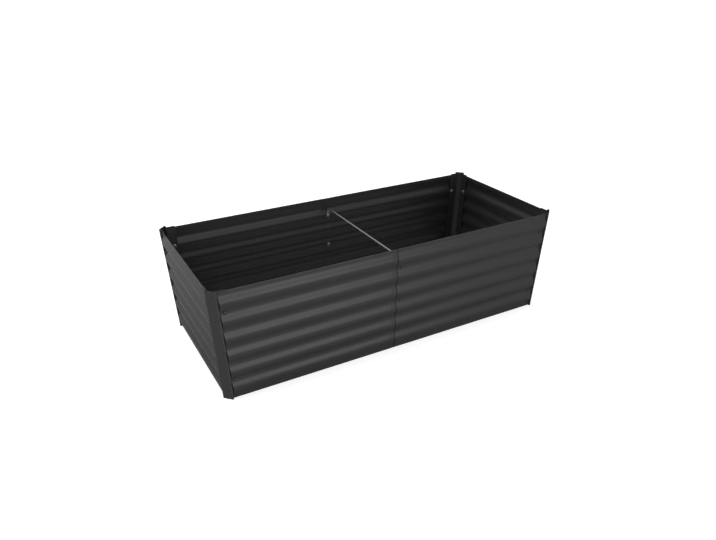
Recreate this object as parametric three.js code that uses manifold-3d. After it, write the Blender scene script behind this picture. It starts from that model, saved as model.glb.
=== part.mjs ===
// Raised garden bed: six corrugated steel panels bolted into four folded corner posts, with one
// cross brace between the long walls. The bed has no floor. Millimetres, Z up, X along the bed,
// origin on the ground at the centre of the bed.

import * as THREE from 'three';
import { mergeVertices } from 'three/addons/utils/BufferGeometryUtils.js';
import Module from 'manifold-3d';

const wasm = await Module();
wasm.setup();

// ---------------------------------------------------------------- driving dimensions

const bedLength = 1400; // over the long direction, X
const bedWidth = 600; // over the short direction, Y

const waveCount = 6; // full waves up a panel
const wavePitch = 64; // height of one wave
const waveDepth = 8; // from the outer crests in to the troughs
const plainEdge = 10; // flat strip under the first wave and over the last
const panelSheet = 0.8; // thickness of a panel
const hemHeight = 9; // how far the safety hem is folded back
const hemSlit = 0.3; // air inside the folded hem

const postSheet = 1.2; // thickness of a corner post
const postProud = 6; // how far a post stands above the panels
const chamferLeg = 26; // each leg of the corner that the post's face cuts off
const postBend = 1.2; // inside radius of the post's folds
const panelEndGap = 4; // open joint between a panel's end and its post

const seamLap = 40; // overlap of the two half panels of a long wall
const joggleMargin = 3; // how far the drawn-in lap runs past the panel that covers it
const joggleRun = 24; // length over which the lap eases back to the wall's plane

const boltEdge = 14; // from a bolt to the ends of the sheets that it joins
const boltRadius = 3; // M6
const boltClearance = 0.4; // between a bolt and the hole around it
const headRadius = 6;
const headHeight = 3.2;
const headRim = 0.9; // straight edge below the dome of the head
const postBoltLength = 12;
const seamBoltLength = 16;
const tipChamfer = 0.7;
const nutFlats = 10; // across the flats
const nutHeight = 6;
const nutFlangeRadius = 6.6;
const nutFlangeHeight = 1.4;

const rodRadius = 3; // cross brace
const braceRise = 32; // from the top bolts up to the brace
const braceBend = 8; // centre line radius of the brace's turned-down ends
const tabWidth = 13; // pressed end of the brace
const tabThickness = 2.4;
const pressedLength = 12; // length over which the round rod becomes the flat tab

const fit = 0.3; // air between pieces that seat on each other

// ---------------------------------------------------------------- derived places

const panelHeight = waveCount * wavePitch + 2 * plainEdge;
const postHeight = panelHeight + postProud;
const foldRadius = postBend + postSheet; // outside radius of a post fold

// Distances along a wall from the bed's outer corner.
const postEdge = chamferLeg + Math.SQRT2 * foldRadius; // post's step, facing the panel's end
const panelStart = postEdge + panelEndGap;
const boltInset = panelStart + boltEdge;
const flangeEnd = boltInset + boltEdge;

// Depths in from a wall's outer plane.
const troughInside = waveDepth + panelSheet;
const flangeDepth = troughInside + fit;
const lapInset = panelSheet + fit; // how far the covered end of a half panel is drawn in

// Heights of the troughs between the waves. Bolts sit in the lowest and highest ones at the
// posts, and in the middle one too at the seams.
const troughs = [];
for (let wave = 1; wave < waveCount; wave++) {
  troughs.push(plainEdge + wave * wavePitch);
}
const postRows = [troughs[0], troughs.at(-1)];
const seamRows = [troughs[0], troughs[Math.floor(troughs.length / 2)], troughs.at(-1)];
const braceRow = troughs.at(-1);

const cutPast = 1; // how far a cutter runs out of the sheet that it cuts
const bendSteps = 4; // facets per fold
const waveSteps = 10; // facets per wave
const roundSides = 12; // sides of bolts, nuts, holes and the brace

// ---------------------------------------------------------------- materials

function steelPaint() {
  return new THREE.MeshStandardMaterial({ color: 0x3b3c3e, roughness: 0.5, metalness: 0.15 });
}

function blackZinc() {
  return new THREE.MeshStandardMaterial({ color: 0x232425, roughness: 0.45, metalness: 0.6 });
}

function brightZinc() {
  return new THREE.MeshStandardMaterial({ color: 0xb4b7ba, roughness: 0.35, metalness: 0.9 });
}

// ---------------------------------------------------------------- solids and booleans

function toSolid(geometry) {
  const bare = geometry.clone();
  bare.deleteAttribute('normal');
  bare.deleteAttribute('uv');
  const merged = mergeVertices(bare);
  return new wasm.Manifold(new wasm.Mesh({
    numProp: 3,
    vertProperties: merged.attributes.position.array,
    triVerts: new Uint32Array(merged.index.array),
  }));
}

function toGeometry(solid) {
  const mesh = solid.getMesh();
  const geometry = new THREE.BufferGeometry();
  geometry.setAttribute('position', new THREE.BufferAttribute(mesh.vertProperties, 3));
  geometry.setIndex(new THREE.BufferAttribute(mesh.triVerts, 1));
  return geometry;
}

// The body less each of the cutters, all as geometries.
function cutAway(body, cutters) {
  let solid = toSolid(body);
  for (const cutter of cutters) {
    solid = solid.subtract(toSolid(cutter));
  }
  return toGeometry(solid);
}

// A block between two opposite corners.
function block(low, high) {
  const size = new THREE.Vector3().subVectors(high, low);
  const middle = new THREE.Vector3().addVectors(low, high).multiplyScalar(0.5);
  return new THREE.BoxGeometry(size.x, size.y, size.z).translate(middle.x, middle.y, middle.z);
}

// A drill along Y at height z, long enough for any stack of sheets in a wall.
function drill(x, y, z) {
  const reach = 2 * (waveDepth + seamBoltLength);
  const radius = boltRadius + boltClearance;
  return new THREE.CylinderGeometry(radius, radius, reach, roundSides).translate(x, y, z);
}

// ---------------------------------------------------------------- folded sheet

// Points and unit normals of a line through the corners, with a round bend at each inner one.
function bentLine(corners, radius) {
  const line = [];
  const heading = (from, to) => new THREE.Vector2().subVectors(to, from).normalize();
  const leftOf = (direction) => new THREE.Vector2(-direction.y, direction.x);
  const last = corners.length - 1;
  line.push({ point: corners[0], normal: leftOf(heading(corners[0], corners[1])) });
  for (let i = 1; i < last; i++) {
    const before = heading(corners[i - 1], corners[i]);
    const after = heading(corners[i], corners[i + 1]);
    const turn = Math.atan2(before.cross(after), before.dot(after));
    const setback = radius * Math.tan(Math.abs(turn) / 2);
    const start = corners[i].clone().addScaledVector(before, -setback);
    const centre = start.clone().addScaledVector(leftOf(before), radius * Math.sign(turn));
    for (let k = 0; k <= bendSteps; k++) {
      const angle = (turn * k) / bendSteps;
      const point = start.clone().rotateAround(centre, angle);
      const normal = leftOf(before).rotateAround(new THREE.Vector2(), angle);
      if (point.distanceTo(line.at(-1).point) > 1e-6) {
        line.push({ point, normal });
      }
    }
  }
  line.push({ point: corners[last], normal: leftOf(heading(corners[last - 1], corners[last])) });
  return line;
}

// Closed section of a sheet whose middle follows the line.
function sheetShape(line, thickness) {
  const face = (side) => line.map(({ point, normal }) => (
    point.clone().addScaledVector(normal, (side * thickness) / 2)
  ));
  return new THREE.Shape([...face(1), ...face(-1).reverse()]);
}

// The shape carried through the frames, one ring of the surface per frame.
function sweep(shape, frames) {
  const steps = frames.length - 1;
  const geometry = new THREE.ExtrudeGeometry(shape, {
    depth: steps, steps, bevelEnabled: false, curveSegments: roundSides / 2,
  });
  const position = geometry.attributes.position;
  const vertex = new THREE.Vector3();
  for (let i = 0; i < position.count; i++) {
    vertex.fromBufferAttribute(position, i);
    const frame = frames[Math.round(vertex.z)];
    vertex.setZ(0).applyMatrix4(frame);
    position.setXYZ(i, vertex.x, vertex.y, vertex.z);
  }
  return geometry;
}

// ---------------------------------------------------------------- corrugated panels
// Built in the frame of a wall: X along it, Y out of the bed from the outer plane, Z up.

// Distance of the sheet's middle out from its troughs, as a cosine wave up the panel.
function waveOut(height) {
  const phase = (2 * Math.PI * (height - plainEdge)) / wavePitch;
  return (waveDepth / 2) * (1 - Math.cos(phase));
}

// Section of a panel as (out, up): a folded safety hem, the waves, and a second hem.
function panelShape() {
  const troughMiddle = -(waveDepth + panelSheet / 2);
  const hemRadius = (panelSheet + hemSlit) / 2;
  const hemMiddle = troughMiddle - 2 * hemRadius;
  const foot = panelSheet / 2;
  const crown = panelHeight - panelSheet / 2;
  const at = (out, up) => new THREE.Vector2(out, up);

  const lowerHem = bentLine(
    [at(hemMiddle, hemHeight), at(hemMiddle, foot), at(troughMiddle, foot), at(troughMiddle, plainEdge)],
    hemRadius,
  );
  const upperHem = bentLine(
    [at(troughMiddle, panelHeight - plainEdge), at(troughMiddle, crown), at(hemMiddle, crown),
      at(hemMiddle, panelHeight - hemHeight)],
    hemRadius,
  );
  const waves = [];
  for (let k = 1; k < waveCount * waveSteps; k++) {
    const up = plainEdge + (k * wavePitch) / waveSteps;
    const slope = ((Math.PI * waveDepth) / wavePitch)
      * Math.sin((2 * Math.PI * (up - plainEdge)) / wavePitch);
    const point = at(troughMiddle + waveOut(up), up);
    waves.push({ point, normal: at(-1, slope).normalize() });
  }
  return sheetShape([...lowerHem, ...waves, ...upperHem], panelSheet);
}

// One ring of a panel, at a place along the wall and drawn in from it.
function panelFrame(along, inset = 0) {
  const out = new THREE.Vector3(0, 1, 0);
  const up = new THREE.Vector3(0, 0, 1);
  const right = new THREE.Vector3(1, 0, 0);
  return new THREE.Matrix4().makeBasis(out, up, right).setPosition(along, -inset, 0);
}

// Cutters that take the inner leg of both hems away between two places along the wall.
function hemNotches(from, to) {
  const outer = -(troughInside + hemSlit / 2);
  const inner = -(troughInside + hemSlit + 2 * panelSheet);
  const levels = [
    [-panelSheet, hemHeight + panelSheet],
    [panelHeight - hemHeight - panelSheet, panelHeight + panelSheet],
  ];
  return levels.map(([low, high]) => (
    block(new THREE.Vector3(from, inner, low), new THREE.Vector3(to, outer, high))
  ));
}

const section = panelShape();
const notchLength = flangeEnd - panelStart + fit + panelSheet; // clear of a post's flange

function boltHoles(along, rows) {
  return rows.map((row) => drill(along, -waveDepth, row));
}

// Panel of a short wall, with a post at each end.
function endPanel() {
  const half = bedWidth / 2 - panelStart;
  return cutAway(sweep(section, [panelFrame(-half), panelFrame(half)]), [
    ...hemNotches(-half - cutPast, -half + notchLength),
    ...hemNotches(half - notchLength, half + cutPast),
    ...boltHoles(-half + boltEdge, postRows),
    ...boltHoles(half - boltEdge, postRows),
  ]);
}

// Half panel of a long wall that lies outside at the seam.
function coveringPanel() {
  const start = -(bedLength / 2 - panelStart);
  const end = seamLap / 2;
  return cutAway(sweep(section, [panelFrame(start), panelFrame(end)]), [
    ...hemNotches(start - cutPast, start + notchLength),
    ...hemNotches(-seamLap / 2 - fit - panelSheet, end + cutPast),
    ...boltHoles(start + boltEdge, postRows),
    ...boltHoles(0, seamRows),
  ]);
}

// Half panel of a long wall that lies inside at the seam, its end drawn in by one sheet.
function coveredPanel() {
  const start = -seamLap / 2;
  const lapEnd = seamLap / 2 + joggleMargin;
  const end = bedLength / 2 - panelStart;
  const rings = [
    panelFrame(start, lapInset),
    panelFrame(lapEnd, lapInset),
    panelFrame(lapEnd + joggleRun / 2, lapInset / 2),
    panelFrame(lapEnd + joggleRun),
    panelFrame(end),
  ];
  return cutAway(sweep(section, rings), [
    ...hemNotches(end - notchLength, end + cutPast),
    ...boltHoles(end - boltEdge, postRows),
    ...boltHoles(0, seamRows),
  ]);
}

// ---------------------------------------------------------------- corner posts
// Built with the bed's outer corner at the origin and the post in the -X, -Y quarter.

// Flange, step, chamfered face, step, flange: each fold keeps within the bed's outer planes.
function cornerPost() {
  const flangeMiddle = flangeDepth + postSheet / 2;
  const stepMiddle = postEdge - postSheet / 2;
  const faceMiddle = chamferLeg + postSheet / Math.SQRT2 - stepMiddle;
  const half = [
    new THREE.Vector2(-flangeEnd, -flangeMiddle),
    new THREE.Vector2(-stepMiddle, -flangeMiddle),
    new THREE.Vector2(-stepMiddle, -faceMiddle),
  ];
  const otherHalf = half.map(({ x, y }) => new THREE.Vector2(y, x)).reverse();
  const line = bentLine([...half, ...otherHalf], postBend + postSheet / 2);
  const body = new THREE.ExtrudeGeometry(sheetShape(line, postSheet), {
    depth: postHeight, bevelEnabled: false,
  });
  const holes = postRows.flatMap((row) => [
    drill(-boltInset, -flangeMiddle, row),
    drill(boltInset, -flangeMiddle, row).rotateZ(-Math.PI / 2),
  ]);

  // The flanges are trimmed to the panels' height, so only the face and its steps stand proud.
  const trimLow = new THREE.Vector3(-flangeEnd - cutPast, -flangeDepth - postSheet - cutPast, panelHeight);
  const trimHigh = new THREE.Vector3(-postEdge - fit, -flangeDepth + cutPast, postHeight + cutPast);
  const swapped = ({ x, y, z }) => new THREE.Vector3(y, x, z);
  const trims = [block(trimLow, trimHigh), block(swapped(trimLow), swapped(trimHigh))];
  return cutAway(body, [...holes, ...trims]);
}

// ---------------------------------------------------------------- fasteners
// Each is turned about Y, which points out of the bed, with its seat at Y = 0.

function bolt(length) {
  const shoulder = headHeight - (headHeight - headRim) * 0.3;
  return new THREE.LatheGeometry([
    new THREE.Vector2(0, -length),
    new THREE.Vector2(boltRadius - tipChamfer, -length),
    new THREE.Vector2(boltRadius, -length + tipChamfer),
    new THREE.Vector2(boltRadius, 0),
    new THREE.Vector2(headRadius, 0),
    new THREE.Vector2(headRadius, headRim),
    new THREE.Vector2(headRadius * 0.68, shoulder),
    new THREE.Vector2(0, headHeight),
  ], roundSides);
}

// Hexagon nut with a flange in place of a washer, its seat facing out and its body reaching in.
function flangeNut() {
  const corner = nutFlats / Math.sqrt(3);
  const hexagon = new THREE.CylinderGeometry(corner, corner, nutHeight, 6)
    .translate(0, -nutHeight / 2, 0);
  const flange = new THREE.CylinderGeometry(nutFlangeRadius, corner, nutFlangeHeight, roundSides)
    .translate(0, -nutFlangeHeight / 2, 0);
  const body = toSolid(hexagon).add(toSolid(flange));
  return toGeometry(body.subtract(toSolid(drill(0, 0, 0))));
}

// Places, out from a wall's outer plane, of what one bolt clamps.
const headSeat = -waveDepth + waveOut(plainEdge + headRadius) + fit;

const postNutSeat = -(flangeDepth + postSheet + fit);
const seamNutSeat = -(troughInside + lapInset + fit);
const braceNutSeat = seamNutSeat - tabThickness - fit;

// ---------------------------------------------------------------- cross brace
// A round rod across the bed, turned down at both ends and pressed flat for the top seam bolts.

function braceRod() {
  const tabMiddle = bedWidth / 2 - (troughInside + lapInset + fit + tabThickness / 2);
  const rodLevel = braceRow + braceRise;
  const round = new THREE.Shape().absarc(0, 0, rodRadius, 0, 2 * Math.PI);

  // Rings of one end as (across the bed, up, heading below level, width and thickness factors).
  const elbow = [];
  for (let k = 0; k <= bendSteps; k++) {
    const angle = (k * Math.PI) / 2 / bendSteps;
    elbow.push({
      y: tabMiddle - braceBend + braceBend * Math.sin(angle),
      z: rodLevel - braceBend + braceBend * Math.cos(angle),
      angle, wide: 1, thick: 1,
    });
  }
  const pressed = {
    y: tabMiddle, z: rodLevel - braceBend - pressedLength, angle: Math.PI / 2,
    wide: (tabWidth / 2 - fit) / rodRadius, thick: (tabThickness / 2 - fit / 2) / rodRadius,
  };
  const nearEnd = [...elbow, pressed];
  const ring = ({ y, z, angle, wide, thick }, side) => {
    const heading = new THREE.Vector3(0, Math.cos(angle), -side * Math.sin(angle));
    const across = new THREE.Vector3(wide, 0, 0);
    const normal = new THREE.Vector3(0, heading.z, -heading.y).multiplyScalar(thick);
    return new THREE.Matrix4().makeBasis(across, normal, heading).setPosition(0, side * y, z);
  };
  const frames = [
    ...nearEnd.toReversed().map((place) => ring(place, -1)),
    ...nearEnd.map((place) => ring(place, 1)),
  ];
  let solid = toSolid(sweep(round, frames));

  const tabTop = pressed.z + tabWidth / 2;
  for (const side of [-1, 1]) {
    solid = solid.add(toSolid(braceTab(tabTop).translate(0, side * tabMiddle, 0)));
    solid = solid.subtract(toSolid(drill(0, side * tabMiddle, braceRow)));
  }
  return toGeometry(solid);
}

// Flat tab with round ends, from around the bolt hole up to where the rod runs into it.
function braceTab(top) {
  const radius = tabWidth / 2;
  const outline = new THREE.Shape();
  outline.absarc(0, braceRow, radius, Math.PI, 2 * Math.PI);
  outline.absarc(0, top - radius, radius, 0, Math.PI);
  const tab = new THREE.ExtrudeGeometry(outline, {
    depth: tabThickness, bevelEnabled: false, curveSegments: roundSides / 4,
  });
  return tab.translate(0, 0, -tabThickness / 2).rotateX(Math.PI / 2);
}

// ---------------------------------------------------------------- assembly

const bed = new THREE.Group();

function addMesh(parent, name, geometry, material) {
  const mesh = new THREE.Mesh(geometry, material);
  mesh.name = name;
  parent.add(mesh);
}

function frameGroup(turn, x, y) {
  const group = new THREE.Group();
  group.rotation.z = turn;
  group.position.set(x, y, 0);
  bed.add(group);
  return group;
}

// Long walls: the two halves change sides from front to back, because both walls are alike.
const longWalls = [
  { side: 'front', turn: Math.PI, y: -bedWidth / 2, covering: 'right', covered: 'left' },
  { side: 'back', turn: 0, y: bedWidth / 2, covering: 'left', covered: 'right' },
];
for (const { side, turn, y, covering, covered } of longWalls) {
  const wall = frameGroup(turn, 0, y);
  addMesh(wall, `panel_${side}_${covering}`, coveringPanel(), steelPaint());
  addMesh(wall, `panel_${side}_${covered}`, coveredPanel(), steelPaint());

  seamRows.forEach((row, i) => {
    const nutSeat = row === braceRow ? braceNutSeat : seamNutSeat;
    const seamBolt = bolt(seamBoltLength).translate(0, headSeat, row);
    const seamNut = flangeNut().translate(0, nutSeat, row);
    addMesh(wall, `seam_bolt_${side}_${i + 1}`, seamBolt, blackZinc());
    addMesh(wall, `seam_nut_${side}_${i + 1}`, seamNut, brightZinc());
  });
}

// Short walls.
addMesh(frameGroup(Math.PI / 2, -bedLength / 2, 0), 'panel_left_end', endPanel(), steelPaint());
addMesh(frameGroup(-Math.PI / 2, bedLength / 2, 0), 'panel_right_end', endPanel(), steelPaint());

// Corner posts, each with the bolts and nuts of its two flanges.
const corners = [
  { place: 'back_right', turn: 0, x: bedLength / 2, y: bedWidth / 2 },
  { place: 'back_left', turn: Math.PI / 2, x: -bedLength / 2, y: bedWidth / 2 },
  { place: 'front_left', turn: Math.PI, x: -bedLength / 2, y: -bedWidth / 2 },
  { place: 'front_right', turn: -Math.PI / 2, x: bedLength / 2, y: -bedWidth / 2 },
];
for (const { place, turn, x, y } of corners) {
  const corner = frameGroup(turn, x, y);
  addMesh(corner, `corner_post_${place}`, cornerPost(), steelPaint());

  // The flange on the long wall lies along X or Y, whichever way the post is turned.
  const alongFirst = turn % Math.PI === 0;
  const flanges = [
    { wall: alongFirst ? 'long' : 'end', set: (piece) => piece.translate(-boltInset, 0, 0) },
    {
      wall: alongFirst ? 'end' : 'long',
      set: (piece) => piece.translate(boltInset, 0, 0).rotateZ(-Math.PI / 2),
    },
  ];
  for (const { wall, set } of flanges) {
    postRows.forEach((row, i) => {
      const postBolt = set(bolt(postBoltLength).translate(0, headSeat, row));
      const postNut = set(flangeNut().translate(0, postNutSeat, row));
      addMesh(corner, `post_bolt_${place}_${wall}_${i + 1}`, postBolt, blackZinc());
      addMesh(corner, `post_nut_${place}_${wall}_${i + 1}`, postNut, brightZinc());
    });
  }
}

addMesh(bed, 'brace_rod', braceRod(), brightZinc());

export default bed;
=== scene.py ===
import math
import bpy
import numpy as np
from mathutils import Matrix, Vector


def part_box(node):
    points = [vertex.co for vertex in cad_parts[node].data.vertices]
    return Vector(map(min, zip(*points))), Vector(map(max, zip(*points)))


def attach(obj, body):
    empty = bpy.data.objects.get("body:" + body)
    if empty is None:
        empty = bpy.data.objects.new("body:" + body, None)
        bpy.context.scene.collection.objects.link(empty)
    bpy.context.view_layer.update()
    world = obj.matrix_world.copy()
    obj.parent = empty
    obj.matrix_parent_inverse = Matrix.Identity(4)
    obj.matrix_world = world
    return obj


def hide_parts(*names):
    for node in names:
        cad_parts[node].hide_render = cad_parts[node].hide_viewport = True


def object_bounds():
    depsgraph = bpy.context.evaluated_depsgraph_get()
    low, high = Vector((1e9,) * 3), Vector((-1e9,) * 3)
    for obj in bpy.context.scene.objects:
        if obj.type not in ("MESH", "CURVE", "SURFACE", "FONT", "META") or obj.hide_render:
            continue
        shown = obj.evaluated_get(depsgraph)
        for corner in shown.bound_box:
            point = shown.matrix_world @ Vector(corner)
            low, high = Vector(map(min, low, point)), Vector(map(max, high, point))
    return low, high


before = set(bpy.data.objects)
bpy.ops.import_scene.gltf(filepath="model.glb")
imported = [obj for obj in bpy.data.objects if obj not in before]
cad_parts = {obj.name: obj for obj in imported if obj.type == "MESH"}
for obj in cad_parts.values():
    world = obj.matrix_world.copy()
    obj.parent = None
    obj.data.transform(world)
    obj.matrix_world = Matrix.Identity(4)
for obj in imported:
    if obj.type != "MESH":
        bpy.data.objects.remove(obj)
cadLow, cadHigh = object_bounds()
print("frame loaded:", len(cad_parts), "nodes")

upward = np.array([0.0, 0.0, 1.0])
nearly = 0.001  # lengths closer than this count as equal
tightRadius = 0.005  # a bend tighter than this is a fold rather than a wave


def makeMesh(name, points, quads, triangles=None, sharpAngle=40.0, values=None):
    # Keeps the points that a face uses, then fills one mesh. Faces that meet flatter than
    # sharpAngle shade smooth. values holds a number for each point, by the attribute's name.
    parts = [np.asarray(quads, int).reshape(-1, 4)]
    if triangles is not None:
        parts.append(np.asarray(triangles, int).reshape(-1, 3))
    corners = np.concatenate([part.ravel() for part in parts])
    used, corners = np.unique(corners, return_inverse=True)
    sizes = np.concatenate([np.full(len(part), part.shape[1]) for part in parts])
    mesh = bpy.data.meshes.new(name)
    mesh.vertices.add(len(used))
    mesh.vertices.foreach_set("co", np.ascontiguousarray(points[used], np.float32).ravel())
    mesh.loops.add(len(corners))
    mesh.loops.foreach_set("vertex_index", corners.astype(np.int32))
    mesh.polygons.add(len(sizes))
    mesh.polygons.foreach_set("loop_start", (np.cumsum(sizes) - sizes).astype(np.int32))
    mesh.polygons.foreach_set("use_smooth", np.ones(len(sizes), bool))
    mesh.update(calc_edges=True)
    mesh.validate()
    mesh.set_sharp_from_angle(angle=math.radians(sharpAngle))
    for key, numbers in (values or {}).items():
        attribute = mesh.attributes.new(key, "FLOAT", "POINT")
        attribute.data.foreach_set("value", numbers[used].astype(np.float32))
    piece = bpy.data.objects.new(name, mesh)
    bpy.context.scene.collection.objects.link(piece)
    return piece


def finishPiece(piece, node, material):
    # The piece stands for a CAD node, which is hidden, and takes the finish that it is given.
    piece.data.materials.append(material)
    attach(piece, "root")
    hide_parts(node)


def bentLine(corners, radius, steps):
    # A line through the corners with a round bend at each inner one: points and left-hand unit normals.
    corners = np.array(corners, float)
    headings = np.diff(corners, axis=0)
    headings /= np.linalg.norm(headings, axis=1)[:, None]
    lefts = np.stack([-headings[:, 1], headings[:, 0]], axis=1)
    points, normals = [corners[:1]], [lefts[:1]]
    for corner, before, after, left in zip(corners[1:-1], headings, headings[1:], lefts):
        turn = math.atan2(before[0] * after[1] - before[1] * after[0], before @ after)
        start = corner - before * radius * math.tan(abs(turn) / 2)
        centre = start + left * radius * np.sign(turn)
        angles = np.linspace(0.0, turn, steps + 1)[:, None]

        def spin(vector):
            return vector * np.cos(angles) + np.array([-vector[1], vector[0]]) * np.sin(angles)

        points.append(centre + spin(start - centre))
        normals.append(spin(left))
    points = np.concatenate(points + [corners[-1:]])
    normals = np.concatenate(normals + [lefts[-1:]])
    # A point that repeats the one before it is dropped.
    moved = np.linalg.norm(np.diff(points, axis=0), axis=1) > 1e-7
    keep = np.concatenate([[True], moved])
    return points[keep], normals[keep]


def tightBends(points, normals):
    # 1 at the points of a folded line's tight bends, 0 where it runs straight or in slow waves.
    swung = np.linalg.norm(np.diff(normals, axis=0), axis=1)
    moved = np.linalg.norm(np.diff(points, axis=0), axis=1)
    tight = (swung / moved > 1 / tightRadius).astype(float)
    return np.maximum(np.pad(tight, (0, 1)), np.pad(tight, (1, 0)))


def sheetFaces(shape, present):
    # Faces of a thin sheet whose two sides are grids of points: side a numbered first, then side b.
    # present says which cells of the grid hold metal; a side wall closes each cell that has no neighbour.
    rows, columns = shape
    a = np.arange(rows * columns).reshape(rows, columns)
    b = a + rows * columns
    full = np.pad(present, 1)
    inner = full[1:-1, 1:-1]
    quads = []

    def cell(grid, i, j):
        return grid[i:rows - 1 + i, j:columns - 1 + j]

    def add(mask, *corners):
        quads.append(np.stack([corner[mask] for corner in corners], axis=1))

    add(inner, cell(a, 0, 0), cell(a, 0, 1), cell(a, 1, 1), cell(a, 1, 0))
    add(inner, cell(b, 0, 0), cell(b, 1, 0), cell(b, 1, 1), cell(b, 0, 1))
    add(inner & ~full[:-2, 1:-1], cell(a, 0, 0), cell(b, 0, 0), cell(b, 0, 1), cell(a, 0, 1))
    add(inner & ~full[2:, 1:-1], cell(a, 1, 0), cell(a, 1, 1), cell(b, 1, 1), cell(b, 1, 0))
    add(inner & ~full[1:-1, :-2], cell(a, 0, 0), cell(a, 1, 0), cell(b, 1, 0), cell(b, 0, 0))
    add(inner & ~full[1:-1, 2:], cell(a, 0, 1), cell(b, 0, 1), cell(b, 1, 1), cell(a, 1, 1))
    return np.concatenate(quads)


def closedTube(grid):
    # A grid of rings of points, closed at both ends by a fan about the ring's middle.
    rings, around = grid.shape[:2]
    index = np.arange(rings * around).reshape(rings, around)
    following = np.roll(index, -1, axis=1)
    quads = np.stack([index[:-1], index[1:], following[1:], following[:-1]], axis=-1).reshape(-1, 4)
    firstMiddle, lastMiddle = np.full(around, rings * around), np.full(around, rings * around + 1)
    fans = np.concatenate([
        np.stack([firstMiddle, index[0], following[0]], axis=1),
        np.stack([lastMiddle, following[-1], index[-1]], axis=1)])
    middles = np.stack([grid[0].mean(axis=0), grid[-1].mean(axis=0)])
    return np.concatenate([grid.reshape(-1, 3), middles]), quads, fans


def turnedOver(faces):
    # The same faces seen from their other side, each from the corner that it started at.
    return np.roll(faces[:, ::-1], 1, axis=1)


def smoothStep(value):
    # 3 v^2 - 2 v^3 between 0 and 1, level outside.
    value = np.clip(value, 0.0, 1.0)
    return value * value * (3 - 2 * value)


def wallDirection(name):
    # Which way out of the bed a wall or a fastener in it faces, from its name.
    words = name.split("_")
    if "end" in words:
        return np.array([1.0 if "right" in words else -1.0, 0.0, 0.0])
    return np.array([0.0, 1.0 if "back" in words else -1.0, 0.0])


def wallPlace(outward, along, out, up):
    # Points given along a wall, out of it and up, put into the bed's own frame.
    side = np.cross(outward, upward)
    return along[..., None] * side + out[..., None] * outward + up[..., None] * upward


def boxAlong(node, direction):
    # Where a CAD node starts and ends along a direction.
    low, high = (np.array(corner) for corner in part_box(node))
    return sorted((low @ direction, high @ direction))


class Shade:
    # One socket of a material, so that shader maths reads as a sum.

    def __init__(self, tree, socket):
        self.tree, self.socket = tree, socket

    def node(self, kind, settings, sockets):
        # A node of any kind: its settings first, then its sockets' values or links, by name or number.
        made = self.tree.nodes.new(kind)
        for key, value in settings.items():
            setattr(made, key, value)
        for key, value in sockets.items():
            if isinstance(value, Shade):
                self.tree.links.new(value.socket, made.inputs[key])
            else:
                made.inputs[key].default_value = value
        return made

    def of(self, made, output=0):
        return Shade(self.tree, made.outputs[output])

    def maths(self, operation, *values):
        return self.of(self.node("ShaderNodeMath", {"operation": operation}, dict(enumerate(values))))

    def __add__(self, other):
        return self.maths("ADD", self, other)

    def __radd__(self, other):
        return self.maths("ADD", other, self)

    def __sub__(self, other):
        return self.maths("SUBTRACT", self, other)

    def __rsub__(self, other):
        return self.maths("SUBTRACT", other, self)

    def __mul__(self, other):
        return self.maths("MULTIPLY", self, other)

    def __rmul__(self, other):
        return self.maths("MULTIPLY", other, self)

    def rise(self, low, high):
        # 0 below low, 1 above high, a smooth step between.
        sockets = {"Value": self, "From Min": low, "From Max": high}
        return self.of(self.node("ShaderNodeMapRange", {"interpolation_type": "SMOOTHSTEP"}, sockets))

    def ownPlace(self):
        return self.of(self.node("ShaderNodeTexCoord", {}, {}), "Object")

    def noise(self, scale, detail=2.0, roughness=0.5):
        # Noise of about 1 / scale metres in the piece's own place.
        sockets = {"Vector": self.ownPlace(), "Scale": scale, "Detail": detail, "Roughness": roughness}
        return self.of(self.node("ShaderNodeTexNoise", {}, sockets))

    def pointValue(self, name):
        # A number that the mesh holds at each point, 0 on a mesh without it.
        return self.of(self.node("ShaderNodeAttribute", {"attribute_name": name}, {}), "Fac")

    def blendColours(self, first, second):
        # From the first colour to the second as this value goes from 0 to 1. The Mix node's
        # colours are at its inputs 6 and 7 and its output 2.
        sockets = {0: self}
        for key, value in ((6, first), (7, second)):
            sockets[key] = value if isinstance(value, Shade) else (*value, 1.0)
        return self.of(self.node("ShaderNodeMix", {"data_type": "RGBA"}, sockets), 2)

    def bump(self, distance, under=None):
        sockets = {"Height": self, "Distance": distance}
        if under is not None:
            sockets["Normal"] = under
        return self.of(self.node("ShaderNodeBump", {}, sockets))


def grey(level):
    # An opaque grey for a colour socket.
    return (level, level, level, 1.0)


def newMaterial(name, metallic, edgeTint):
    # A Principled material with its fixed sockets set, and a handle for expressions on it.
    material = bpy.data.materials.new(name)
    material.use_nodes = True
    tree = material.node_tree
    shader = tree.nodes["Principled BSDF"]
    shader.inputs["Metallic"].default_value = metallic
    shader.inputs["Specular Tint"].default_value = grey(edgeTint)
    return material, Shade(tree, None), shader


def feed(shader, colour, gloss, normal):
    # Links what changes over the surface.
    tree = shader.id_data
    tree.links.new(colour.socket, shader.inputs["Base Color"])
    tree.links.new(gloss.socket, shader.inputs["Roughness"])
    tree.links.new(normal.socket, shader.inputs["Normal"])


# The charcoal coating that panels and posts share: clouds in its gloss and colour, settled dust,
# painted shade with dirt along the lap, and folds and rims rubbed paler. Scales are per metre.
coating = dict(
    # The darkest colour here is painted shade along the lap, with dirt speckled in.
    metallic=0.6, edgeTint=0.25, rubbed=(0.095, 0.093, 0.090), lapShadeAndGrime=(0.0085, 0.0082, 0.0080),
    cloudScale=7.0, cloudGloss=0.10, speckScale=900.0,
    dustScale=34.0, dustShare=0.6, dustFrom=0.50, dustTo=0.72, dustTint=0.22, dustGloss=0.05,
    # These set the lap's painted shade: how strong it is, its dirt-like speckle, and how much rougher it
    # is.
    lapShadeBase=0.75, lapShadeSpeck=0.5, dirtGloss=0.18,
    rubScale=160.0, rubShare=0.7, rubFrom=0.42, rubTo=0.60, foldFrom=0.90, rubDepth=0.6, rubGloss=0.08)

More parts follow.
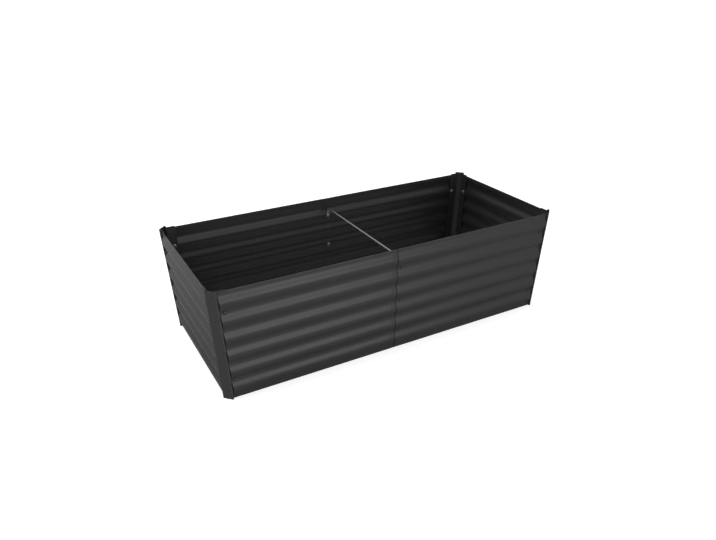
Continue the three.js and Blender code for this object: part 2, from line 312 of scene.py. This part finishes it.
# What differs on the panels' rolled sheet and on the posts' folded one.
sheetFinish = dict(
    paint=(0.0350, 0.0347, 0.0349), worn=(0.0535, 0.0530, 0.0528), roughness=0.38, mottle=0.10,
    peelSize=0.0016, peelHeight=0.000020, panSize=0.16, panHeight=0.0007)

postFinish = dict(
    paint=(0.0355, 0.0352, 0.0354), worn=(0.0540, 0.0535, 0.0533), roughness=0.44, mottle=0.08,
    peelSize=0.0010, peelHeight=0.000018, panSize=0.30, panHeight=0.0003)


def paintedSteel(name, finish):
    # Coat, dust, rubbed folds, and painted shade with dirt along the lap, blended in that order.
    material, shade, shader = newMaterial(name, coating["metallic"], coating["edgeTint"])
    cloud = shade.noise(coating["cloudScale"], detail=4.0, roughness=0.55)
    speck = shade.noise(coating["speckScale"], roughness=0.6)
    powder = shade.noise(coating["dustScale"], detail=5.0, roughness=0.62)
    dust = powder * coating["dustShare"] + speck * (1 - coating["dustShare"])
    dust = dust.rise(coating["dustFrom"], coating["dustTo"])

    # The mesh says where the lap and the folds are, and noise breaks both up.
    # Beside the lap a dark line of painted shade is laid on, speckled like dirt.
    shadeAndDirt = shade.pointValue("seam") * (coating["lapShadeBase"] + speck * coating["lapShadeSpeck"])
    shadeAndDirt = shade.maths("MINIMUM", shadeAndDirt, 1.0)
    scuffs = shade.noise(coating["rubScale"], detail=4.0, roughness=0.65)
    scuffs = scuffs * coating["rubShare"] + cloud * (1 - coating["rubShare"])
    fold = shade.pointValue("wear").rise(coating["foldFrom"], 1.0)
    rubbed = fold * scuffs.rise(coating["rubFrom"], coating["rubTo"])

    fading = dust * coating["dustTint"] + cloud * finish["mottle"]
    colour = fading.blendColours(finish["paint"], finish["worn"])
    colour = (rubbed * coating["rubDepth"]).blendColours(colour, coating["rubbed"])
    # Last, the painted shade along the lap darkens the colour.
    colour = shadeAndDirt.blendColours(colour, coating["lapShadeAndGrime"])
    gloss = (finish["roughness"] + (cloud - 0.5) * coating["cloudGloss"] + dust * coating["dustGloss"]
             + shadeAndDirt * coating["dirtGloss"] - rubbed * coating["rubGloss"])

    # Slow dents of the sheet itself, and over them the orange peel of the coating.
    pans = shade.noise(1.0 / finish["panSize"], detail=1.0).bump(finish["panHeight"])
    peel = shade.noise(1.0 / finish["peelSize"], detail=1.5).bump(finish["peelHeight"], under=pans)
    feed(shader, colour, gloss, peel)
    return material


# Plated fasteners and the rod: two tones of plating in clouds, with a fine grain.
plating = dict(
    cloudPerGrain=0.12, cloudShare=0.7, spotFrom=0.30, spotTo=0.72, cloudGloss=0.16, grainGloss=0.10,
    grainHeight=0.00002)

zincFinish = dict(
    colour=(0.34, 0.342, 0.345), spots=(0.22, 0.222, 0.228), roughness=0.40, grain=2600.0,
    metallic=1.0, edgeTint=1.0)

blackFinish = dict(
    colour=(0.042, 0.0417, 0.042), spots=(0.058, 0.0575, 0.058), roughness=0.40, grain=2200.0,
    metallic=coating["metallic"], edgeTint=coating["edgeTint"])

rodFinish = dict(
    colour=(0.27, 0.268, 0.265), spots=(0.215, 0.213, 0.210), roughness=0.46, grain=900.0,
    metallic=1.0, edgeTint=1.0)


def platedSteel(name, finish):
    # Spots blend the two tones; clouds and grain change the gloss.
    material, shade, shader = newMaterial(name, finish["metallic"], finish["edgeTint"])
    cloud = shade.noise(finish["grain"] * plating["cloudPerGrain"], detail=3.0, roughness=0.6)
    grain = shade.noise(finish["grain"], roughness=0.6)
    spots = cloud * plating["cloudShare"] + grain * (1 - plating["cloudShare"])
    spots = spots.rise(plating["spotFrom"], plating["spotTo"])
    colour = spots.blendColours(finish["colour"], finish["spots"])
    gloss = (finish["roughness"] + (cloud - 0.5) * plating["cloudGloss"]
             + (grain - 0.5) * plating["grainGloss"])
    feed(shader, colour, gloss, grain.bump(plating["grainHeight"]))
    return material


panelPaint = paintedSteel("panelPaint", sheetFinish)
postPaint = paintedSteel("postPaint", postFinish)
brightZinc = platedSteel("brightZinc", zincFinish)
blackZinc = platedSteel("blackZinc", blackFinish)
galvanised = platedSteel("galvanised", rodFinish)
print("finishes made")


# The corrugated panels. A station is a step along a panel, and crowding is the share of a step
# that stays clear beside a place that matters, such as the end of a hem.
panel = dict(
    waves=6, depth=0.008, plainEdge=0.010, sheet=0.0008, hemHeight=0.009, hemSlit=0.0003,
    waveSteps=28, foldSteps=6, station=0.035, crowding=0.2, notchClearance=0.0011,
    lapMargin=0.003, joggleRun=0.024, joggleSteps=8, fit=0.0003,
    # The strip of painted shade beside the outer sheet's edge: its width, its fade and its strength.
    lapShadeWidth=0.0022, lapShadeFade=0.0020, lapShadeDepth=0.65, wearReach=0.003)

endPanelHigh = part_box("panel_left_end")[1]
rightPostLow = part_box("corner_post_front_right")[0]
panelTop = endPanelHigh.z
wavePitch = (panelTop - 2 * panel["plainEdge"]) / panel["waves"]
panelStart = cadHigh.y - endPanelHigh.y  # from the bed's outer corner to a panel's end
flangeEnd = cadHigh.x - rightPostLow.x  # from the same corner to the end of a post's flange


def panelLine():
    # Middle of the sheet as (out, up): folded hem, waves that stand depth / 2 * (1 - cos(phase))
    # out from the trough, folded hem. The last result counts the cells of one hem.
    trough = -(panel["depth"] + panel["sheet"] / 2)
    hemRadius = (panel["sheet"] + panel["hemSlit"]) / 2
    leg = trough - 2 * hemRadius
    foot, crown = panel["sheet"] / 2, panelTop - panel["sheet"] / 2
    edge, hem = panel["plainEdge"], panel["hemHeight"]
    lower = [(leg, hem), (leg, foot), (trough, foot), (trough, edge)]
    upper = [(trough, panelTop - edge), (trough, crown), (leg, crown), (leg, panelTop - hem)]
    lower, upper = (bentLine(line, hemRadius, panel["foldSteps"]) for line in (lower, upper))
    phase = np.linspace(0.0, 2 * math.pi * panel["waves"], panel["waves"] * panel["waveSteps"] + 1)[1:-1]
    out = trough + panel["depth"] / 2 * (1 - np.cos(phase))
    up = edge + phase / (2 * math.pi) * wavePitch
    slope = math.pi * panel["depth"] / wavePitch * np.sin(phase)
    normals = np.stack([-np.ones_like(slope), slope], axis=1) / np.hypot(1, slope)[:, None]
    points = np.concatenate([lower[0], np.stack([out, up], axis=1), upper[0]])
    normals = np.concatenate([lower[1], normals, upper[1]])
    return points, normals, len(lower[0]) - 2


def panelStations(start, end, marks):
    # Places along a panel: every mark, and the even steps that don't crowd one.
    even = np.linspace(start, end, int((end - start) / panel["station"]) + 1)
    nearest = np.min(np.abs(even[:, None] - np.array(marks)[None, :]), axis=1)
    return np.unique(np.concatenate([marks, even[nearest > panel["station"] * panel["crowding"]]]))


def makePanel(node):
    # The panel's line swept along its wall. Of a long wall's two half panels, the one that starts
    # at the middle is covered by the other: it lies one sheet further in and eases out past the lap.
    outward = wallDirection(node)
    start, end = boxAlong(node, np.cross(outward, upward))
    wall, halfSpan = (cadHigh.x, cadHigh.y) if "end" in node.split("_") else (cadHigh.y, cadHigh.x)
    startsAtPost = abs(start + halfSpan - panelStart) < nearly
    endsAtPost = abs(halfSpan - end - panelStart) < nearly
    covered = not startsAtPost
    lapHalf = min(-start, end) if startsAtPost != endsAtPost else 0.0
    lapEnd = lapHalf + panel["lapMargin"]

    # The hems stay clear of the posts' flanges and, on the outer half panel, of the lap.
    notch = flangeEnd - panelStart + panel["notchClearance"]
    hemStart = start + notch if startsAtPost else start
    hemEnd = end - (notch if endsAtPost else 2 * lapHalf + panel["notchClearance"])
    marks = [start, start + panel["wearReach"], hemStart, hemEnd, end - panel["wearReach"], end]
    if covered:
        marks += list(lapEnd + np.linspace(0, 1, panel["joggleSteps"] + 1) * panel["joggleRun"])
        marks += [lapHalf - panel["lapShadeFade"], lapHalf, lapHalf + panel["lapShadeWidth"]]
    stations = panelStations(start, end, marks)

    # How far in each station lies, and how much painted shade and dirt: fully beside the outer sheet's
    # edge, then fading.
    drawn, lapShadeAndGrime = np.zeros(len(stations)), np.zeros(len(stations))
    if covered:
        eased = smoothStep((stations - lapEnd) / panel["joggleRun"])
        drawn = (panel["sheet"] + panel["fit"]) * (1 - eased)
        reach = np.abs(stations - lapHalf - panel["lapShadeWidth"] / 2) - panel["lapShadeWidth"] / 2
        lapShadeAndGrime = np.clip(1 - reach / panel["lapShadeFade"], 0.0, 1.0) * panel["lapShadeDepth"]

    points, normals, hemCells = panelLine()
    present = np.ones((len(points) - 1, len(stations) - 1), bool)
    middles = (stations[1:] + stations[:-1]) / 2
    bare = (middles < hemStart) | (middles > hemEnd)
    present[:hemCells, bare] = False
    present[-hemCells:, bare] = False

    along = np.broadcast_to(stations, (len(points), len(stations)))
    sides = []
    for sign in (1, -1):
        face = points + sign * normals * panel["sheet"] / 2
        out = face[:, :1] + wall - drawn[None, :]
        up = np.broadcast_to(face[:, 1:], along.shape)
        sides.append(wallPlace(outward, along, out, up).reshape(-1, 3))
    # The seam values carry the painted shade with dirt, on the covered panel's outer face.
    lapShadeAndGrime = np.broadcast_to(lapShadeAndGrime, along.shape).ravel()
    lapShadeAndGrime = np.concatenate([0 * lapShadeAndGrime, lapShadeAndGrime])  # outer face alone: the line's normals point into the bed
    rims = np.clip(1 - np.minimum(stations - start, end - stations) / panel["wearReach"], 0.0, 1.0)
    wear = np.tile(np.maximum(tightBends(points, normals)[:, None], rims[None, :]).ravel(), 2)
    faces = sheetFaces(along.shape, present)
    sheet = makeMesh(f"sheet_{node}", np.concatenate(sides), faces, values={"seam": lapShadeAndGrime, "wear": wear})
    finishPiece(sheet, node, panelPaint)


for node in sorted(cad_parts):
    if node.startswith("panel_"):
        makePanel(node)
print("panels made")


# The corner posts, folded from one sheet; rise is the step between their levels.
post = dict(sheet=0.0012, chamferLeg=0.026, bend=0.0012, bendSteps=12, rise=0.03, wearReach=0.003)


def postLine(edge):
    # The folded section in plan, from the bed's outer corner: flange, step, bevelled face, step, flange.
    # Two more points on each straight part keep the rubbed strip beside a fold narrow.
    thick, reach = post["sheet"], post["wearReach"]
    flangeMiddle = panel["depth"] + panel["sheet"] + panel["fit"] + thick / 2
    stepMiddle = edge - thick / 2
    faceMiddle = post["chamferLeg"] + thick / math.sqrt(2) - stepMiddle
    half = [(-flangeEnd, -flangeMiddle), (-stepMiddle, -flangeMiddle), (-stepMiddle, -faceMiddle)]
    line = half + [(y, x) for x, y in reversed(half)]
    points, normals = bentLine(line, post["bend"] + thick / 2, post["bendSteps"])

    lengths = np.linalg.norm(np.diff(points, axis=0), axis=1)
    travelled = np.concatenate([[0.0], np.cumsum(lengths)])
    straight = lengths > 3 * reach
    added = [travelled[:-1][straight] + reach, travelled[1:][straight] - reach]
    fuller = np.unique(np.concatenate([travelled, *added]))
    return (np.stack([np.interp(fuller, travelled, values[:, axis]) for axis in (0, 1)], axis=1)
            for values in (points, normals))


def makePost(node):
    # The section raised to its height. The flanges stop at the panels' height, the bevelled face
    # goes on.
    low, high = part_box(node)
    edge = post["chamferLeg"] + math.sqrt(2) * (post["bend"] + post["sheet"])
    points, normals = postLine(edge)
    levels = np.unique(np.concatenate([
        np.arange(low.z, panelTop, post["rise"]), [panelTop, high.z - post["wearReach"], high.z]]))
    cellMiddle = (points[1:] + points[:-1]) / 2
    flange = np.minimum(cellMiddle[:, 0], cellMiddle[:, 1]) < -edge - panel["fit"]
    present = np.ones((len(points) - 1, len(levels) - 1), bool)
    present[flange, -1] = False

    signX, signY = (1 if high.x > 0 else -1), (1 if high.y > 0 else -1)
    sides = []
    for sign in (1, -1):
        face = points + sign * normals * post["sheet"] / 2
        grid = np.empty((len(points), len(levels), 3))
        grid[..., 0] = (signX * (cadHigh.x + face[:, 0]))[:, None]
        grid[..., 1] = (signY * (cadHigh.y + face[:, 1]))[:, None]
        grid[..., 2] = levels[None, :]
        sides.append(grid.reshape(-1, 3))
    faces = sheetFaces((len(points), len(levels)), present)
    if signX * signY < 0:
        faces = faces[:, ::-1]
    rim = np.clip(1 - (high.z - levels) / post["wearReach"], 0.0, 1.0)
    wear = np.tile(np.maximum(tightBends(points, normals)[:, None], rim[None, :]).ravel(), 2)
    folded = makeMesh(f"folded_{node}", np.concatenate(sides), faces, values={"wear": wear})
    finishPiece(folded, node, postPaint)


for node in sorted(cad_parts):
    if node.startswith("corner_post_"):
        makePost(node)
print("posts made")


def ringAngles(around):
    # Even angles round a ring, as a row, its first point not repeated.
    return np.linspace(0.0, 2 * math.pi, around, endpoint=False)[None, :]


def hexagonRadius(angle, flats):
    # Distance from the centre to the side of a hexagon: half its flats over the cosine within each sixth.
    return flats / 2 / np.cos((angle + math.pi / 6) % (math.pi / 3) - math.pi / 6)


def turned(name, node, rings, around, material, sharpAngle=40.0):
    # A piece turned about the way out of its wall, from pairs of radius and distance out. Each is
    # a number, a column with one value for each ring, or a full grid of rings.
    even = np.ones((1, around))
    grids = [np.broadcast_arrays(radius * even, out * even) for radius, out in rings]
    radius, out = (np.concatenate([pair[k] for pair in grids]) for k in (0, 1))
    low, high = (np.array(corner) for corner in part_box(node))
    outward = wallDirection(node)
    centre = (low + high) / 2
    centre -= outward * (centre @ outward)
    angle = ringAngles(around)
    grid = centre + wallPlace(outward, radius * np.cos(angle), out, radius * np.sin(angle))
    piece = makeMesh(name, *closedTube(grid), sharpAngle)
    finishPiece(piece, node, material)


# The bolts. threadRows counts the rings in one turn of thread, domeTurn is how far the dome turns
# in degrees, socketMouth widens the socket's mouth, drillShare sets the dimple in its floor.
bolt = dict(
    radius=0.003, thread=0.001, threadDepth=0.0006, threadRows=6, tip=0.0007, headRadius=0.006,
    headHeight=0.0032, rim=0.0009, edge=0.00025, edgeRings=5, domeTurn=62.0, domeRings=10,
    socketFlats=0.004, socketDepth=0.0019, socketMouth=1.06, drillShare=0.4, around=36)


def makeBolt(node):
    # Threaded shank with a coned tip, rounded edge, domed head, hexagon socket. The thread ramps
    # up and down once in each pitch, carried on by the angle round the shank.
    tip, top = boxAlong(node, wallDirection(node))
    seat = top - bolt["headHeight"]
    angle = ringAngles(bolt["around"])
    shankOut = np.linspace(tip, seat, int((seat - tip) / bolt["thread"] * bolt["threadRows"]))[:, None]
    groove = np.abs(((shankOut / bolt["thread"] + angle / (2 * math.pi)) % 1.0) * 2 - 1)
    cone = bolt["radius"] - bolt["tip"] + (shankOut - tip)
    shank = np.minimum(bolt["radius"] - bolt["threadDepth"] * groove, cone)

    edge = bolt["edge"]
    sweep = np.linspace(0.0, math.pi / 2, bolt["edgeRings"])[:, None]
    domeTurn = math.radians(bolt["domeTurn"])
    dome = np.linspace(0.0, 1.0, bolt["domeRings"])[:, None] * domeTurn
    domeRise = (bolt["headHeight"] - bolt["rim"]) * np.sin(dome) / math.sin(domeTurn)
    socket = hexagonRadius(angle, bolt["socketFlats"])
    floor = top - bolt["socketDepth"]
    rings = [
        (shank, shankOut),
        (bolt["headRadius"] - edge + edge * np.sin(sweep), seat + edge - edge * np.cos(sweep)),
        (bolt["headRadius"] * np.cos(dome), seat + bolt["rim"] + domeRise),
        (socket * bolt["socketMouth"], top),
        (socket, top - edge),
        (socket, floor),
        (socket * bolt["drillShare"], floor - bolt["drillShare"] * edge)]
    turned(f"set_{node}", node, rings, bolt["around"], blackZinc)


# The flange nuts. coneEnd is the end face's width as a share of the flats, and mouth widens the
# bore there.
nut = dict(
    flats=0.010, bore=0.0030, mouth=1.12, mouthDepth=0.0004, chamfer=0.0009, coneRings=7, coneEnd=0.93,
    flangeRadius=0.0066, flangeHeight=0.0014, flangeRim=0.0005, rimRound=0.0002, fillet=0.0003,
    filletSpread=1.01, around=72, sharpAngle=28.0)


def makeNut(node):
    # Hexagon whose end is cut by a cone, on a flange. The bore is closed just inside its mouth,
    # where the bolt's thread comes out.
    inner, seat = boxAlong(node, wallDirection(node))
    hexagon = hexagonRadius(ringAngles(nut["around"]), nut["flats"])
    corner = nut["flats"] / math.sqrt(3)
    fall = np.linspace(0.0, 1.0, nut["coneRings"])[:, None]
    cone = corner - (corner - nut["flats"] / 2 * nut["coneEnd"]) * fall
    flangeTop, rimTop = seat - nut["flangeHeight"], seat - nut["flangeRim"]
    rings = [
        (nut["bore"], inner + nut["mouthDepth"]),
        (nut["bore"] * nut["mouth"], inner),
        (np.minimum(hexagon, cone[::-1]), inner + nut["chamfer"] * fall),
        (hexagon, flangeTop - nut["fillet"]),
        (hexagon * nut["filletSpread"], flangeTop),
        (nut["flangeRadius"] - nut["rimRound"], rimTop - nut["rimRound"]),
        (nut["flangeRadius"], rimTop),
        (nut["flangeRadius"], seat),
        (nut["bore"], seat)]
    turned(f"set_{node}", node, rings, nut["around"], brightZinc, nut["sharpAngle"])


for node in sorted(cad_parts):
    if "_bolt_" in node:
        makeBolt(node)
    if "_nut_" in node:
        makeNut(node)
print("bolts and nuts made")


# The cross brace. crowding gathers the tab's rings towards its end, squareness is how far the
# pressed section goes from a circle to a bar, endShare is the width left at the tab's last ring.
brace = dict(
    radius=0.003, bend=0.008, tabWidth=0.013, tabThickness=0.0024, pressed=0.012, around=24,
    levelRings=11, bendRings=13, tabRings=39, crowding=1.6, squareness=0.72, endShare=0.01)


def makeBrace(node):
    # Rings along the rod: level across the bed, an elbow down, then pressed from round to a flat
    # tab. One end is worked out and mirrored.
    low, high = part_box(node)
    radius, bend = brace["radius"], brace["bend"]
    level = high.z - radius
    tabRadius = brace["tabWidth"] / 2
    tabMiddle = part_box("seam_nut_back_3")[1].y + panel["fit"] + brace["tabThickness"] / 2
    before, after = brace["levelRings"], brace["tabRings"]
    straight = np.linspace(0.0, tabMiddle - bend, before + 1)[:-1]
    turn = np.linspace(0.0, math.pi / 2, brace["bendRings"])
    drop = level - bend - low.z
    fallen = drop * (1 - (1 - np.linspace(0.0, 1.0, after + 1)[1:]) ** brace["crowding"])
    unpressed = np.zeros(before + brace["bendRings"])

    across = np.concatenate([straight, tabMiddle - bend * (1 - np.sin(turn)), np.full(after, tabMiddle)])
    height = np.concatenate([
        np.full(before, level), level - bend * (1 - np.cos(turn)), level - bend - fallen])
    heading = np.concatenate([np.zeros(before), turn, np.full(after, math.pi / 2)])
    flat = np.concatenate([unpressed, smoothStep(fallen / brace["pressed"])])
    toEnd = np.concatenate([unpressed + drop, drop - fallen])
    closing = np.clip(1 - toEnd / tabRadius, 0.0, 1.0)
    wide = radius + (tabRadius - radius) * flat
    wide = wide * np.sqrt(np.clip(1 - closing ** 2, brace["endShare"] ** 2, 1.0))
    thick = radius + (brace["tabThickness"] / 2 - radius) * flat

    def mirrored(values, sign=1):
        return np.concatenate([sign * values[:0:-1], values])[:, None]

    across, heading = mirrored(across, -1), mirrored(heading, -1)
    height, flat, wide, thick = (mirrored(values) for values in (height, flat, wide, thick))

    # The section is a superellipse: a circle's sine and cosine, to a power that falls as the rod
    # is pressed. Its normal turns with the heading: up on the level stretch, outward on the tabs.
    angle = ringAngles(brace["around"])
    power = 1.0 - brace["squareness"] * flat
    aside, off = (half * np.sign(wave) * np.abs(wave) ** power
                  for half, wave in ((wide, np.cos(angle)), (thick, np.sin(angle))))
    grid = np.stack([aside, across + off * np.sin(heading), height + off * np.cos(heading)], axis=-1)
    points, quads, fans = closedTube(grid)
    rod = makeMesh(f"rod_{node}", points, turnedOver(quads), turnedOver(fans))
    finishPiece(rod, node, galvanised)


makeBrace("brace_rod")
print("brace made")


# The floor and the surroundings. floorGlow is for the camera, mirrorGlow for what the sheets mirror.
stage = dict(
    floorSize=60.0, floorColour=0.70, floorGlow=0.55, mirrorGlow=0.16, ambient=0.95, background=1.0,
    lampAim=(0.0, 0.0, 0.2))

# Where each lamp stands: degrees to the right of the front and above the ground, and metres away.
lamps = {
    "frontStrip": dict(toRight=6.0, above=7.3, away=3.96, size=(2.85, 1.0), watts=45.0),
    "leftStrip": dict(toRight=-121.0, above=5.4, away=2.1, size=(2.9, 0.67), watts=8.5),
    "highKey": dict(toRight=-97.0, above=59.0, away=4.5, size=(0.8, 0.8), watts=46.0),
}

# Degrees, metres and pixels; axisRow is the picture's row at which the camera looks straight ahead.
cameraView = dict(
    place=(-1.0418, -1.8278, 1.2055), turnDown=37.70, turnRight=29.31, focalPixels=564.1, imageWidth=716,
    imageHeight=540, axisRow=391.3, sensor=36.0, clip=(0.05, 100.0))


def insideBed(shade):
    # 1 on the floor inside the walls and behind the posts' bevelled faces, 0 outside.
    place = shade.node("ShaderNodeSeparateXYZ", {}, {0: shade.ownPlace()})
    offX, offY = (shade.maths("ABSOLUTE", shade.of(place, axis)) for axis in (0, 1))
    hem = panel["depth"] + 2 * panel["sheet"]
    leg = post["chamferLeg"] + 2 * post["sheet"]

    def under(value, limit):
        return shade.maths("LESS_THAN", value, limit)

    def over(value, limit):
        return shade.maths("GREATER_THAN", value, limit)

    inWalls = under(offX, cadHigh.x - hem) * under(offY, cadHigh.y - hem)
    inCorner = over(offX, cadHigh.x - leg) * over(offY, cadHigh.y - leg)
    inPosts = inCorner * under(offX + offY, cadHigh.x + cadHigh.y - leg)
    return shade.maths("MAXIMUM", inWalls, inPosts)


def mirrorRay(shade, path):
    # 1 for a ray that comes by way of something shiny or clear, 0 for any other.
    return shade.maths("MAXIMUM", shade.of(path, "Is Glossy Ray"), shade.of(path, "Is Transmission Ray"))


def makeFloor():
    half = stage["floorSize"] / 2
    points = np.array([(-half, -half, 0), (half, -half, 0), (half, half, 0), (-half, half, 0)], float)
    floor = makeMesh("floor", points, [(0, 1, 2, 3)])
    material = bpy.data.materials.new("floorWhite")
    material.use_nodes = True
    tree = material.node_tree
    shade = Shade(tree, None)
    path = shade.node("ShaderNodeLightPath", {}, {})
    matt = shade.of(shade.node("ShaderNodeBsdfDiffuse", {}, {"Color": grey(stage["floorColour"])}))

    def glowing(strength):
        glow = shade.of(shade.node("ShaderNodeEmission", {}, {"Strength": strength}))
        return shade.of(shade.node("ShaderNodeAddShader", {}, {0: matt, 1: glow}))

    def either(factor, first, second):
        return shade.of(shade.node("ShaderNodeMixShader", {}, {0: factor, 1: first, 2: second}))

    # The floor is pale and matt. Outside the bed it glows for the camera, which sees it white but
    # for a faint shadow, and a little for what mirrors it. Inside it doesn't glow, so that the bed
    # looks as deep as it is.
    seen = either(mirrorRay(shade, path), matt, glowing(stage["mirrorGlow"]))
    seen = either(shade.of(path, "Is Camera Ray"), seen, glowing(stage["floorGlow"]))
    surface = either(1.0 - insideBed(shade), matt, seen)
    tree.links.new(surface.socket, tree.nodes["Material Output"].inputs["Surface"])
    tree.nodes.remove(tree.nodes["Principled BSDF"])
    floor.data.materials.append(material)


def makeWorld():
    # White all round: at full strength where it is seen or mirrored, a little less as light.
    world = bpy.data.worlds.new("studio")
    bpy.context.scene.world = world
    world.use_nodes = True
    tree = world.node_tree
    shade = Shade(tree, None)
    path = shade.node("ShaderNodeLightPath", {}, {})
    seen = shade.maths("MAXIMUM", shade.of(path, "Is Camera Ray"), mirrorRay(shade, path))
    strength = seen * (stage["background"] - stage["ambient"]) + stage["ambient"]
    background = tree.nodes["Background"]
    background.inputs["Color"].default_value = grey(1.0)
    tree.links.new(strength.socket, background.inputs["Strength"])


def makeLamp(name, toRight, above, away, size, watts):
    # A rectangle of light that stands in the given direction from the aim and faces it.
    light = bpy.data.lights.new(name, "AREA")
    light.shape, light.size, light.size_y, light.energy = "RECTANGLE", size[0], size[1], watts
    turn, rise = math.radians(toRight), math.radians(above)
    heading = Vector((math.sin(turn) * math.cos(rise), -math.cos(turn) * math.cos(rise), math.sin(rise)))
    lamp = bpy.data.objects.new(name, light)
    lamp.location = Vector(stage["lampAim"]) + heading * away
    lamp.rotation_euler = heading.to_track_quat("Z", "Y").to_euler()
    bpy.context.scene.collection.objects.link(lamp)


def makeCamera():
    # The frame is shifted so that its middle lies above the row straight ahead.
    view = cameraView
    data = bpy.data.cameras.new("camera")
    data.sensor_fit, data.sensor_width = "HORIZONTAL", view["sensor"]
    data.lens = view["focalPixels"] / view["imageWidth"] * view["sensor"]
    data.shift_y = (view["axisRow"] - view["imageHeight"] / 2) / view["imageWidth"]
    data.clip_start, data.clip_end = view["clip"]
    camera = bpy.data.objects.new("camera", data)
    camera.location = view["place"]
    camera.rotation_euler = (math.radians(90 - view["turnDown"]), 0.0, -math.radians(view["turnRight"]))
    bpy.context.scene.collection.objects.link(camera)
    bpy.context.scene.camera = camera


makeFloor()
makeWorld()
for name, values in lamps.items():
    makeLamp(name, **values)
makeCamera()
bpy.context.scene.view_settings.view_transform = "Standard"
print("stage made")
